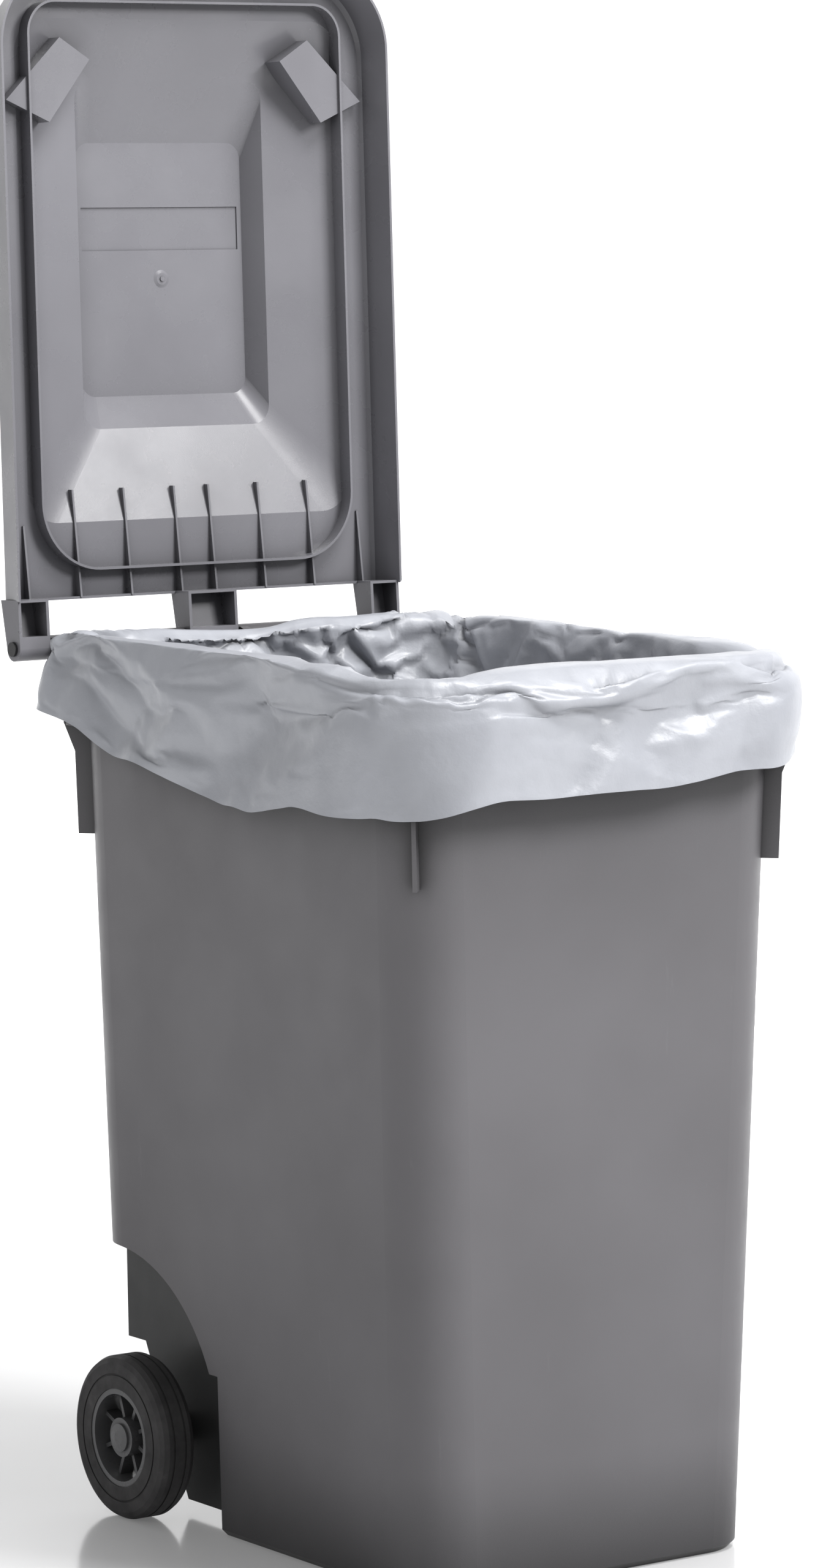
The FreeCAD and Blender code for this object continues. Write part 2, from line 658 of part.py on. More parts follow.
def lock_x():
    """Where the lock pin stands along the axle."""
    return WHEEL_OUT - AXLE_SHORT - AXLE_GROOVE_WIDTH


def rim_barrel_radius():
    return TYRE_SEAT_RADIUS - SEAT_GAP


def wheel_rim():
    low = WHEEL_IN + RIM_BARREL_INSET
    high = WHEEL_OUT - RIM_BARREL_INSET
    outer = rim_barrel_radius()
    inner = outer - RIM_BARREL_WALL
    barrel = turned([(low, inner), (high, inner), (high, outer), (low, outer)])
    hub_low, hub_high = WHEEL_IN + HUB_INSET, WHEEL_OUT - HUB_INSET - CAP_THICKNESS
    hub = rod_x(HUB_RADIUS, hub_low, hub_high, AXLE_Y, AXLE_Z)
    middle = (low + high) / 2
    spoke = box(
        middle - SPOKE_DEPTH / 2,
        middle + SPOKE_DEPTH / 2,
        AXLE_Y - SPOKE_THICKNESS / 2,
        AXLE_Y + SPOKE_THICKNESS / 2,
        AXLE_Z + HUB_RADIUS - SPOKE_THICKNESS,
        AXLE_Z + inner + RIM_BARREL_WALL / 2,
    )
    spokes = []
    for index in range(SPOKES):
        turned_spoke = spoke.copy()
        turned_spoke.rotate(Vec(0, AXLE_Y, AXLE_Z), Vec(1, 0, 0), (index + 0.5) * 360 / SPOKES)
        spokes.append(turned_spoke)
    bore = rod_x(AXLE_RADIUS + RUNNING_FIT + BUSH_WALL + SEAT_GAP, hub_low, hub_high, AXLE_Y, AXLE_Z)
    return fuse_all([barrel, hub] + spokes).cut([bore, lock_bore(LOCK_PIN_RADIUS + RUNNING_FIT)])


def lock_foot():
    """The height of the lock pin's lower end, just off the bottom of the axle's groove."""
    return AXLE_Z + AXLE_RADIUS - AXLE_GROOVE_DEPTH + PIN_HOLE_GAP


def lock_top():
    """The height where the bore of the lock pin ends in the hub."""
    return AXLE_Z + HUB_RADIUS - BUSH_WALL


def lock_bore(radius):
    return Part.makeCylinder(radius, lock_top() - AXLE_Z, Vec(lock_x(), AXLE_Y, AXLE_Z), Vec(0, 0, 1))


def hub_bush():
    low, high = WHEEL_IN + HUB_INSET, WHEEL_OUT - HUB_INSET - CAP_THICKNESS
    outer = rod_x(AXLE_RADIUS + RUNNING_FIT + BUSH_WALL, low, high, AXLE_Y, AXLE_Z)
    bore = rod_x(AXLE_RADIUS + RUNNING_FIT, low, high, AXLE_Y, AXLE_Z)
    return outer.cut([bore, lock_bore(LOCK_PIN_RADIUS + PIN_HOLE_GAP)])


def lock_pin():
    place = Vec(lock_x(), AXLE_Y, lock_foot())
    return Part.makeCylinder(LOCK_PIN_RADIUS, LOCK_PIN_LENGTH, place, Vec(0, 0, 1))


def lock_spring():
    """The space of the coil between the lock pin and the end of its bore, as a sleeve."""
    low = lock_foot() + LOCK_PIN_LENGTH + SEAT_GAP
    length = lock_top() - SEAT_GAP - low
    place = Vec(lock_x(), AXLE_Y, low)
    outer = Part.makeCylinder(LOCK_PIN_RADIUS - PIN_HOLE_GAP, length, place, Vec(0, 0, 1))
    inner_radius = LOCK_PIN_RADIUS - PIN_HOLE_GAP - LOCK_SPRING_WALL
    return outer.cut(Part.makeCylinder(inner_radius, length, place, Vec(0, 0, 1)))


def hub_cap():
    """A dished cover that closes the outer end of the hub."""
    low = WHEEL_OUT - HUB_INSET - CAP_THICKNESS + SEAT_GAP
    high = WHEEL_OUT - SEAT_GAP
    edge = high - CAP_THICKNESS / 2
    return turned([(low, 0.0), (low, CAP_RADIUS), (edge, CAP_RADIUS), (high, CAP_RADIUS / 2), (high, 0.0)])


# ---------------------------------------------------------------- hand-in
def nodes():
    shapes = {"bin_body": bin_body(), "lid": lid(), "bin_liner": bin_liner(), "axle": axle()}
    paired = {
        "hinge_pin": hinge_pin,
        "axle_sleeve": axle_sleeve,
        "tyre": tyre,
        "wheel_rim": wheel_rim,
        "hub_bush": hub_bush,
        "lock_pin": lock_pin,
        "lock_spring": lock_spring,
        "hub_cap": hub_cap,
    }
    for name, make in paired.items():
        shapes[name + "_right"] = make()
        shapes[name + "_left"] = mirrored(shapes[name + "_right"])
    return shapes


os.makedirs("parts", exist_ok=True)
for node, shape in nodes().items():
    shape.exportStep("parts/" + node + ".step")
    print(node, len(shape.Solids), shape.isValid(), round(shape.Volume))
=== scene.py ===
"""A wheelie bin with its lid open and a film liner turned over the rim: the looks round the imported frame."""

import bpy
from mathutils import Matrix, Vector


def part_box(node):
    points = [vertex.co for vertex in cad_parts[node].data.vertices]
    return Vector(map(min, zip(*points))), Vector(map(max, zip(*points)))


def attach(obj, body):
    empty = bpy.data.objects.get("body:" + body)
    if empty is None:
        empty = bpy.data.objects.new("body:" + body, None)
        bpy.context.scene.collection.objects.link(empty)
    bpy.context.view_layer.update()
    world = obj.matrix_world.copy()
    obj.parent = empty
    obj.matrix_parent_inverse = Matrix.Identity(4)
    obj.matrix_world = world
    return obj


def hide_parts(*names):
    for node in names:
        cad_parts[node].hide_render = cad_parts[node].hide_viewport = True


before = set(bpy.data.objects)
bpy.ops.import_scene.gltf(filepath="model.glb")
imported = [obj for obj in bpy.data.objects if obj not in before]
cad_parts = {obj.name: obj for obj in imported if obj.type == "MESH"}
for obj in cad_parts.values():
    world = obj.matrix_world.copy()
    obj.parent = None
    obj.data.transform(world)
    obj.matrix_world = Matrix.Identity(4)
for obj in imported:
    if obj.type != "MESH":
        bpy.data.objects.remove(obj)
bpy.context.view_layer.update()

import math

import bpy
import numpy as np
from mathutils import Vector, geometry


# ---------------------------------------------------------------- places on the tub
# The CAD liner reaches just over the rim, so its box gives the rim's outside.
LINER_LOW, LINER_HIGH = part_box("bin_liner")
RIM_TOP = LINER_HIGH.z
RIM_HALF_WIDTH = LINER_HIGH.x
RIM_FRONT = LINER_LOW.y
RIM_REAR = LINER_HIGH.y
# The wheel arches: their walls on either side, their front end and their top.
ARCH_WALL = 0.204
ARCH_FRONT = 0.017
ARCH_TOP = 0.330


# ---------------------------------------------------------------- node materials
class Shader:
    """One procedural material, built up from noise, colour ramps and bumps on a Principled shader."""

    def __init__(self, name, roughness=0.5, **sockets):
        self.material = bpy.data.materials.new(name)
        self.material.use_nodes = True
        self.tree = self.material.node_tree
        self.shader = self.tree.nodes["Principled BSDF"]
        self.shader.inputs["Roughness"].default_value = roughness
        for socket, value in sockets.items():
            self.shader.inputs[socket.replace("_", " ")].default_value = value
        self.coordinates = self.node("ShaderNodeTexCoord").outputs["Object"]
        self.normal = None

    def node(self, kind, **settings):
        made = self.tree.nodes.new(kind)
        for key, value in settings.items():
            setattr(made, key, value)
        return made

    def link(self, source, target):
        self.tree.links.new(source, target)

    def stretched(self, scale):
        mapping = self.node("ShaderNodeMapping")
        mapping.inputs["Scale"].default_value = scale
        self.link(self.coordinates, mapping.inputs["Vector"])
        return mapping.outputs["Vector"]

    def noise(self, scale, detail=4.0, roughness=0.55, stretch=None, distortion=0.0):
        made = self.node("ShaderNodeTexNoise")
        made.inputs["Scale"].default_value = scale
        made.inputs["Detail"].default_value = detail
        made.inputs["Roughness"].default_value = roughness
        made.inputs["Distortion"].default_value = distortion
        self.link(self.stretched(stretch) if stretch else self.coordinates, made.inputs["Vector"])
        return made.outputs["Fac"]

    def ramp(self, factor, stops):
        made = self.node("ShaderNodeValToRGB")
        ramp = made.color_ramp
        while len(ramp.elements) < len(stops):
            ramp.elements.new(0.5)
        for element, (position, colour) in zip(ramp.elements, stops):
            element.position = position
            element.color = (*colour, 1.0)
        self.link(factor, made.inputs["Fac"])
        return made.outputs["Color"]

    def span(self, factor, low, high, start=0.3, end=0.7):
        made = self.node("ShaderNodeMapRange")
        for socket, value in (("From Min", start), ("From Max", end), ("To Min", low), ("To Max", high)):
            made.inputs[socket].default_value = value
        self.link(factor, made.inputs["Value"])
        return made.outputs["Result"]

    def mix(self, factor, first, second, blend="MIX"):
        made = self.node("ShaderNodeMix", data_type="RGBA", blend_type=blend)
        for socket, value in (("Factor", factor), ("A", first), ("B", second)):
            index = {"Factor": 0, "A": 6, "B": 7}[socket]
            if isinstance(value, (int, float)):
                made.inputs[index].default_value = value
            elif isinstance(value, tuple):
                made.inputs[index].default_value = (*value, 1.0)
            else:
                self.link(value, made.inputs[index])
        return made.outputs[2]

    def bump(self, height, distance, strength=1.0):
        made = self.node("ShaderNodeBump")
        made.inputs["Strength"].default_value = strength
        made.inputs["Distance"].default_value = distance
        self.link(height, made.inputs["Height"])
        if self.normal:
            self.link(self.normal, made.inputs["Normal"])
        self.normal = made.outputs["Normal"]

    def with_painted_shade(self, source, distance, darkest, power=1.0):
        """The colour with painted shade in its recesses, darkened down to a share of itself."""
        made = self.node("ShaderNodeAmbientOcclusion", samples=8)
        made.inputs["Distance"].default_value = distance
        opening = self.node("ShaderNodeMath", operation="POWER")
        opening.inputs[1].default_value = power
        self.link(made.outputs["AO"], opening.inputs[0])
        dark = self.mix(1.0, source, (darkest, darkest, darkest), "MULTIPLY")
        return self.mix(opening.outputs[0], dark, source)

    def within(self, axis, low, high, soft):
        """1 where the coordinate on one axis lies between low and high, with soft ends, and 0 elsewhere."""
        parts = self.node("ShaderNodeSeparateXYZ")
        self.link(self.coordinates, parts.inputs["Vector"])
        above = self.span(parts.outputs[axis], 0.0, 1.0, low - soft, low + soft)
        below = self.span(parts.outputs[axis], 1.0, 0.0, high - soft, high + soft)
        return self.product(above, below)

    def product(self, first, second):
        made = self.node("ShaderNodeMath", operation="MULTIPLY")
        self.link(first, made.inputs[0])
        self.link(second, made.inputs[1])
        return made.outputs[0]

    def colour(self, source):
        self.link(source, self.shader.inputs["Base Color"])

    def rough(self, source):
        self.link(source, self.shader.inputs["Roughness"])

    def done(self):
        if self.normal:
            self.link(self.normal, self.shader.inputs["Normal"])
        return self.material


def moulded_plastic(name, dark, light, roughness, recess=(0.04, 0.3, 1.0), arches=False):
    """Polyethylene: soft cloudy tone, a fine orange-peel grain, faint handling scuffs and painted shade in
    recesses.

    recess holds the reach of the painted shade in recesses, its darkest share and its power.
    """
    made = Shader(name, roughness, Specular_IOR_Level=0.45)
    clouds = made.noise(3.2, 3.0, 0.5)
    base = made.ramp(clouds, [(0.32, dark), (0.68, light)])
    scuffs = made.noise(38.0, 6.0, 0.7, stretch=(1.0, 1.0, 0.16))
    worn = made.ramp(scuffs, [(0.66, (0.0, 0.0, 0.0)), (0.85, (0.035, 0.035, 0.036))])
    # Painted shade: the tone is darkened in recesses.
    tone = made.with_painted_shade(made.mix(1.0, base, worn, "ADD"), *recess)
    if arches:
        # Painted shade: the walls of the wheel arches go nearly black.
        tone = made.mix(arch_painted_shade(made), tone, (0.030, 0.031, 0.031))
    made.colour(tone)
    made.rough(made.span(made.noise(9.0, 5.0, 0.6), roughness - 0.06, roughness + 0.08))
    made.bump(made.noise(900.0, 2.0, 0.5), 0.00012, 0.55)
    made.bump(made.noise(5.0, 2.0, 0.5), 0.0012, 0.35)
    return made.done()


def arch_painted_shade(made):
    """Painted shade on the walls of the wheel arches, thinner in patches."""
    across = made.within("X", -ARCH_WALL - 0.004, ARCH_WALL + 0.004, 0.003)
    along = made.within("Y", ARCH_FRONT, 1.0, 0.004)
    upright = made.within("Z", -1.0, ARCH_TOP, 0.004)
    patches = made.span(made.noise(14.0, 5.0, 0.6), 0.78, 0.95)
    return made.product(made.product(across, along), made.product(upright, patches))


def steel(name, tone):
    """Drawn steel, streaked along X and unevenly polished."""
    made = Shader(name, 0.34, Metallic=1.0)
    drawn = made.noise(260.0, 4.0, 0.6, stretch=(0.02, 1.0, 1.0))
    made.colour(made.ramp(drawn, [(0.3, tuple(c * 0.8 for c in tone)), (0.7, tone)]))
    made.rough(made.span(made.noise(40.0), 0.26, 0.46))
    made.bump(drawn, 0.00006, 0.5)
    return made.done()


def rubber(name):
    """Solid tyre rubber: a dusty bloom over charcoal, painted shade in its recesses, and a fine matt grain."""
    made = Shader(name, 0.72, Specular_IOR_Level=0.35)
    bloom = made.noise(26.0, 6.0, 0.65)
    stops = [(0.3, (0.038, 0.037, 0.038)), (0.62, (0.062, 0.060, 0.061)), (0.8, (0.100, 0.096, 0.095))]
    # Painted shade in the tyre's recesses.
    made.colour(made.with_painted_shade(made.ramp(bloom, stops), 0.03, 0.3))
    made.rough(made.span(made.noise(60.0, 4.0), 0.62, 0.84))
    made.bump(made.noise(1200.0, 2.0), 0.00012, 0.6)
    return made.done()


def film(name):
    """Silvery film with fine creases pressed in by folding, and painted shade in its hollows."""
    made = Shader(name, 0.36, Specular_IOR_Level=0.5)
    tone = made.ramp(made.noise(7.0, 4.0, 0.6), [(0.3, (0.335, 0.345, 0.378)), (0.7, (0.415, 0.427, 0.462))])
    # Painted shade in the film's folds and hollows.
    made.colour(made.with_painted_shade(tone, 0.06, 0.35, 1.3))
    made.rough(made.span(made.noise(30.0, 4.0), 0.30, 0.46))
    made.bump(made.noise(24.0, 5.0, 0.6), 0.0030, 0.45)
    made.bump(made.noise(75.0, 5.0, 0.6), 0.0010, 0.40)
    return made.done()


def paint_nodes(material, *names):
    """Every named CAD node gets the material in all its slots."""
    for name in names:
        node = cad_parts[name]
        node.data.materials.clear()
        node.data.materials.append(material)


def pair(name):
    """The names of the left and the right piece."""
    return [name + "_left", name + "_right"]


def paint_frame():
    body_tones = (0.120, 0.116, 0.123), (0.143, 0.139, 0.148)
    # Far-reaching, near-black painted shade in recesses: a painted shadow under the liner's cuff.
    body = moulded_plastic("body_grey", *body_tones, 0.42, recess=(0.15, 0.08, 2.0), arches=True)
    lid = moulded_plastic("lid_grey", (0.158, 0.156, 0.170), (0.188, 0.186, 0.203), 0.27)
    black = moulded_plastic("black_plastic", (0.017, 0.017, 0.018), (0.028, 0.028, 0.030), 0.42)
    white = moulded_plastic("bush_plastic", (0.46, 0.45, 0.41), (0.52, 0.51, 0.47), 0.35)
    satin = moulded_plastic("satin_black", (0.105, 0.105, 0.108), (0.140, 0.140, 0.144), 0.24)
    paint_nodes(body, "bin_body")
    paint_nodes(lid, "lid")
    paint_nodes(black, *pair("hinge_pin"), *pair("axle_sleeve"))
    paint_nodes(satin, *pair("wheel_rim"), *pair("hub_cap"))
    paint_nodes(white, *pair("hub_bush"))
    paint_nodes(rubber("tyre_rubber"), *pair("tyre"))
    paint_nodes(steel("zinc_steel", (0.62, 0.63, 0.64)), "axle")
    paint_nodes(steel("bright_steel", (0.70, 0.70, 0.71)), *pair("lock_pin"), *pair("lock_spring"))


# ---------------------------------------------------------------- stage
def floor_material():
    """A polished white floor that glows more the further it lies from the object."""
    made = Shader("floor_white", 0.14, Specular_IOR_Level=0.7)
    made.shader.inputs["Emission Color"].default_value = (1.0, 1.0, 1.0, 1.0)
    made.colour(made.ramp(made.noise(1.5), [(0.3, (0.60, 0.60, 0.605)), (0.7, (0.64, 0.64, 0.645))]))
    distance = made.node("ShaderNodeVectorMath", operation="LENGTH")
    made.link(made.coordinates, distance.inputs[0])
    glow = made.span(distance.outputs["Value"], 0.12, 0.95, 0.8, 5.0)
    made.link(glow, made.shader.inputs["Emission Strength"])
    return made.done()


def make_stage():
    """A pale floor that runs up into a pale wall far behind."""
    half, front, depth, height, radius, steps = 14.0, -16.0, 11.0, 12.0, 4.0, 16
    profile = [(front, 0.0), (depth - radius, 0.0)]
    for step in range(1, steps + 1):
        angle = math.pi / 2 * step / steps
        profile.append((depth - radius + radius * math.sin(angle), radius - radius * math.cos(angle)))
    profile.append((depth, height))
    points = [(x, y, z) for x in (-half, half) for y, z in profile]
    count = len(profile)
    faces = [(i, i + count, i + count + 1, i + 1) for i in range(count - 1)]
    mesh = bpy.data.meshes.new("stage")
    mesh.from_pydata(points, [], faces)
    mesh.shade_smooth()
    mesh.materials.append(floor_material())
    stage = bpy.data.objects.new("stage", mesh)
    bpy.context.scene.collection.objects.link(stage)
    stage.rotation_euler = (0.0, 0.0, -CAMERA_AZIMUTH)


def area_light(name, place, aim, size, power):
    """A rectangular lamp at a place, turned towards its aim."""
    data = bpy.data.lights.new(name, "AREA")
    data.shape = "RECTANGLE"
    data.size, data.size_y = size
    data.energy = power
    light = bpy.data.objects.new(name, data)
    light.location = place
    light.rotation_euler = (Vector(aim) - Vector(place)).to_track_quat("-Z", "Y").to_euler()
    bpy.context.scene.collection.objects.link(light)


def make_lights():
    centre = (0.0, 0.0, 0.8)
    area_light("overhead", (0.6, -1.2, 4.8), centre, (1.6, 1.6), 150.0)
    area_light("front_right", (2.2, -3.8, 4.0), centre, (1.6, 1.6), 260.0)
    area_light("left_fill", (-5.0, -1.0, 2.6), centre, (2.0, 3.0), 30.0)
    world = bpy.data.worlds.new("studio")
    world.use_nodes = True
    background = world.node_tree.nodes["Background"]
    background.inputs["Color"].default_value = (1.0, 1.0, 1.0, 1.0)
    background.inputs["Strength"].default_value = 0.28
    bpy.context.scene.world = world
    bpy.context.scene.view_settings.view_transform = "Standard"


# ---------------------------------------------------------------- camera
# It looks to the rear and to the right, a little downwards. Angles in radians, lens in millimetres.
CAMERA_AZIMUTH = 0.63098
CAMERA_PITCH = 0.11137
CAMERA_PLACE = (-4.03908, -5.56071, 1.66148)
CAMERA_LENS = 131.8


def make_camera():
    data = bpy.data.cameras.new("camera")
    data.sensor_width = 36.0
    data.lens = CAMERA_LENS
    camera = bpy.data.objects.new("camera", data)
    camera.location = CAMERA_PLACE
    camera.rotation_euler = (math.pi / 2 - CAMERA_PITCH, 0.0, -CAMERA_AZIMUTH)
    bpy.context.scene.collection.objects.link(camera)
    bpy.context.scene.camera = camera


# ---------------------------------------------------------------- liner
# Places round the rim run from 0 at the front's middle, by the right side, the rear and the left side, to 1.
TUB_WALL = 0.0045
# How far the rim stands out from the tub's walls, its front and rear corners, and the mouth's corners.
RIM_FLANGES = {"side": 0.0030, "front": 0.0185, "rear": 0.0300}
RIM_CORNERS = (0.095, 0.045)
MOUTH_CORNER = 0.0655
# Points in the film round the rim, and from the bag's bottom to the cuff's edge.
AROUND, ALONG = 480, 120
# The cloth step: its length in frames, and the share by which the film outgrows its shape.
FRAMES = 16
FILM_GROWTH = 0.14
# How deep a fold gets, how much of an inward fold turns outwards, and how much of the sideways drift stays.
FOLD_LIMIT = 0.040
INWARD_KEPT = 0.7
SIDEWAYS_KEPT = 0.8
# The flat facets pressed in after the cloth step: their size and their height.
FACET_SPACING = 0.1
FACET_HEIGHT = 0.009
# How far the film may stand out from the rim and over it, and the percentage of points that fit outright.
BULGE_LIMIT = 0.037
CREST_LIMIT = 0.034
BULGE_PERCENT = 99.7
# Where the rear starts and ends round the rim, in the shape and in the cloth step. The film lies flat there.
REAR_SHAPED = (0.405, 0.425, 0.575, 0.595)
REAR_HELD = (0.40, 0.42, 0.58, 0.60)
# The bag's rows inside the tub: inset from the mouth, and height.
BAG_ROWS = [
    (0.200, 0.315), (0.120, 0.320), (0.060, 0.420), (0.040, 0.620),
    (0.024, 0.820), (0.013, 0.950), (0.008, 1.005),
]
# The cuff's rows outside: share of the cuff's length, and share of its belly.
CUFF_ROWS = [(0.10, 0.16), (0.30, 0.85), (0.62, 1.0), (0.86, 0.72), (1.0, 0.86)]

# How far the crest of the film stands above the rim, in millimetres.
CREST_LIFT = [
    (0.000, 5), (0.021, 23), (0.053, 21), (0.097, 13), (0.125, 5), (0.154, 13), (0.200, 5), (0.241, 8),
    (0.288, 3), (0.309, 25), (0.335, 22), (0.370, 9), (0.398, 27), (0.440, 21), (0.500, 17), (0.560, 20),
    (0.610, 22), (0.650, 24), (0.700, 26), (0.750, 25), (0.785, 27), (0.806, 9), (0.850, 5), (0.897, 7),
    (0.933, 4), (0.975, 3),
]
# How far below the rim the cuff ends, in millimetres.
CUFF_LENGTH = [
    (0.000, 96), (0.045, 99), (0.083, 95), (0.110, 78), (0.150, 84), (0.250, 96), (0.330, 86), (0.392, 80),
    (0.608, 66), (0.640, 84), (0.676, 101), (0.730, 118), (0.780, 134), (0.828, 137), (0.862, 131),
    (0.897, 117), (0.922, 92), (0.960, 100),
]
# How far the cuff bellies out from the rim in millimetres, and how much of that the smooth shape keeps.
BELLY_KEPT = 0.3
CUFF_BELLY = [
    (0.000, 15), (0.030, 9), (0.060, 17), (0.097, 20), (0.112, 27), (0.130, 13), (0.200, 16), (0.260, 11),
    (0.330, 14), (0.392, 18), (0.600, 38), (0.625, 30), (0.660, 8), (0.700, 17), (0.750, 12), (0.800, 19),
    (0.850, 14), (0.897, 20), (0.930, 11), (0.965, 18),
]


def smooth(low, high, value):
    """0 below low, 1 above high, and a soft step between."""
    share = np.clip((value - low) / (high - low), 0.0, 1.0)
    return share * share * (3.0 - 2.0 * share)


def round_table(table, around):
    """The table's value at each place, in metres, joined smoothly round the loop."""
    places, values = np.array(table, dtype=float).T
    shifts = np.linspace(-0.012, 0.012, 7)
    spread = [np.interp((around + shift) % 1.0, places, values, period=1.0) for shift in shifts]
    return np.mean(spread, axis=0) / 1000.0


def rear_share(around, ends):
    """1 along the rear and 0 elsewhere, with soft ends."""
    return smooth(ends[0], ends[1], around) * (1.0 - smooth(ends[2], ends[3], around))


def rounded_loop(half_x, front, rear, front_corner, rear_corner, around):
    """Points (x, y) and outward directions on a rounded rectangle, with runs in step with the rim's own."""
    quarter = math.pi / 2
    rim_runs = rim_run_lengths()
    ends = np.concatenate([[0.0], np.cumsum(rim_runs)]) / sum(rim_runs)
    run = np.clip(np.searchsorted(ends, around % 1.0, side="right") - 1, 0, len(rim_runs) - 1)
    part = (around % 1.0 - ends[run]) / (ends[run + 1] - ends[run])
    x_front, x_rear = half_x - front_corner, half_x - rear_corner
    y_front, y_rear = front + front_corner, rear - rear_corner
    point = np.zeros((len(around), 2))
    out = np.zeros((len(around), 2))
    straights = {
        0: ((0.0, front), (x_front, front), (0, -1)),
        2: ((half_x, y_front), (half_x, y_rear), (1, 0)),
        4: ((x_rear, rear), (-x_rear, rear), (0, 1)),
        6: ((-half_x, y_rear), (-half_x, y_front), (-1, 0)),
        8: ((-x_front, front), (0.0, front), (0, -1)),
    }
    arcs = {
        1: ((x_front, y_front), front_corner, -quarter),
        3: ((x_rear, y_rear), rear_corner, 0.0),
        5: ((-x_rear, y_rear), rear_corner, quarter),
        7: ((-x_front, y_front), front_corner, 2 * quarter),
    }
    for index, (start, finish, direction) in straights.items():
        here = run == index
        share = part[here][:, None]
        point[here] = np.array(start) * (1 - share) + np.array(finish) * share
        out[here] = direction
    for index, (centre, radius, start) in arcs.items():
        here = run == index
        angle = start + quarter * part[here]
        direction = np.stack([np.cos(angle), np.sin(angle)], axis=1)
        point[here] = np.array(centre) + radius * direction
        out[here] = direction
    return point, out


def rim_run_lengths():
    """The lengths of the rim's straights and corners, from the front's middle all the way round."""
    front_corner, rear_corner = RIM_CORNERS
    side = RIM_REAR - RIM_FRONT - front_corner - rear_corner
    front_half, rear_whole = RIM_HALF_WIDTH - front_corner, 2 * (RIM_HALF_WIDTH - rear_corner)
    front_arc, rear_arc = front_corner * math.pi / 2, rear_corner * math.pi / 2
    return [front_half, front_arc, side, rear_arc, rear_whole, rear_arc, side, front_arc, front_half]


def facet_heights(places, heights, s, t, loop):
    """Heights at (s, t) on flat triangles between the places, which repeat every loop along s."""
    copies = [(x + shift, y) for shift in (-loop, 0.0, loop) for x, y in places]
    values = np.tile(heights, 3)
    flat_vertices = [Vector(place) for place in copies]
    triangles = geometry.delaunay_2d_cdt(flat_vertices, [], [], 0, 1e-7)[2]
    corners = np.array(copies)
    result = np.zeros(s.shape)
    for triangle in triangles:
        a, b, c = corners[list(triangle)]
        area = (b[0] - a[0]) * (c[1] - a[1]) - (c[0] - a[0]) * (b[1] - a[1])
        if abs(area) < 1e-12:
            continue
        low, high = np.minimum(np.minimum(a, b), c), np.maximum(np.maximum(a, b), c)
        near = (s >= low[0]) & (s <= high[0]) & (t >= low[1]) & (t <= high[1])
        if not near.any():
            continue
        x, y = s[near], t[near]
        share_b = ((x - a[0]) * (c[1] - a[1]) - (c[0] - a[0]) * (y - a[1])) / area
        share_c = ((b[0] - a[0]) * (y - a[1]) - (x - a[0]) * (b[1] - a[1])) / area
        inside = (share_b >= -1e-6) & (share_c >= -1e-6) & (share_b + share_c <= 1 + 1e-6)
        level = values[list(triangle)]
        found = level[0] + share_b * (level[1] - level[0]) + share_c * (level[2] - level[0])
        result[near] = np.where(inside, found, result[near])
    return result


def crumple(s, t, loop, spacing, seed):
    """Creased film: flat facets between sharp folds, about spacing apart. From -1 to 1."""
    dice = np.random.default_rng(seed)
    t_low, t_high = t.min() - 2 * spacing, t.max() + 2 * spacing
    columns = max(int(loop / spacing), 3)
    rows = max(int((t_high - t_low) / spacing), 3)
    places = []
    for row in range(rows + 1):
        for column in range(columns):
            x = (column + dice.uniform(0.05, 0.95)) * loop / columns
            y = t_low + (row + dice.uniform(0.05, 0.95)) * (t_high - t_low) / rows
            places.append((x, y))
    heights = dice.choice([-1.0, 1.0], len(places)) * dice.uniform(0.45, 1.0, len(places))
    return facet_heights(places, heights, s, t, loop)


def catmull(knots, samples):
    """Points along a smooth line through the knots, evenly shared between them. knots is (count, n, 3)."""
    count = len(knots)
    at = np.linspace(0.0, count - 1.0, samples)
    rows = []
    for t in at:
        index = min(int(t), count - 2)
        f = t - index
        p0, p1, p2, p3 = (knots[min(max(index + k, 0), count - 1)] for k in (-1, 0, 1, 2))
        straight = 2 * p1 + (p2 - p0) * f
        square = (2 * p0 - 5 * p1 + 4 * p2 - p3) * f**2
        cube = (3 * p1 - p0 - 3 * p2 + p3) * f**3
        rows.append(0.5 * (straight + square + cube))
    return np.array(rows)


def with_height(level, height):
    """(x, y) points at a height, which is one number or one for each point."""
    return np.concatenate([level, np.broadcast_to(height, len(level))[:, None]], axis=1)


def mouth_loop(inset, around):
    """Points and outward directions round the tub's mouth, moved in from its wall."""
    half_x = RIM_HALF_WIDTH - RIM_FLANGES["side"] - TUB_WALL - inset
    front = RIM_FRONT + RIM_FLANGES["front"] + TUB_WALL + inset
    rear = RIM_REAR - RIM_FLANGES["rear"] - TUB_WALL - inset
    corner = MOUTH_CORNER + inset * 0.6
    return rounded_loop(half_x, front, rear, corner, corner, around)


def liner_knots(around):
    """The rows of knots that the film passes through, from the bag's bottom to the cuff's edge."""
    lift = round_table(CREST_LIFT, around)
    length = round_table(CUFF_LENGTH, around)
    belly = round_table(CUFF_BELLY, around) * BELLY_KEPT
    at_rear = rear_share(around, REAR_SHAPED)[:, None]
    rim, out = rounded_loop(RIM_HALF_WIDTH, RIM_FRONT, RIM_REAR, *RIM_CORNERS, around)
    knots = [with_height(mouth_loop(inset, around)[0], height) for inset, height in BAG_ROWS]
    lip = mouth_loop(0.004, around)[0]
    knots.append(with_height(lip, RIM_TOP + lift * 0.55))
    knots.append(with_height(lip * 0.5 + rim * 0.5, RIM_TOP + 0.002 + lift))
    knots.append(with_height(rim + out * 0.002, RIM_TOP + 0.001 + lift * 0.30))
    for share, push in CUFF_ROWS:
        level = rim + out * (0.003 + belly * push)[:, None]
        hanging = with_height(level, RIM_TOP - 0.004 - length * share)
        resting = with_height(rim + out * (0.001 + 0.014 * share), RIM_TOP + 0.004 + 0.010 * (1 - share))
        knots.append(hanging * (1 - at_rear) + resting * at_rear)
    return np.array(knots)


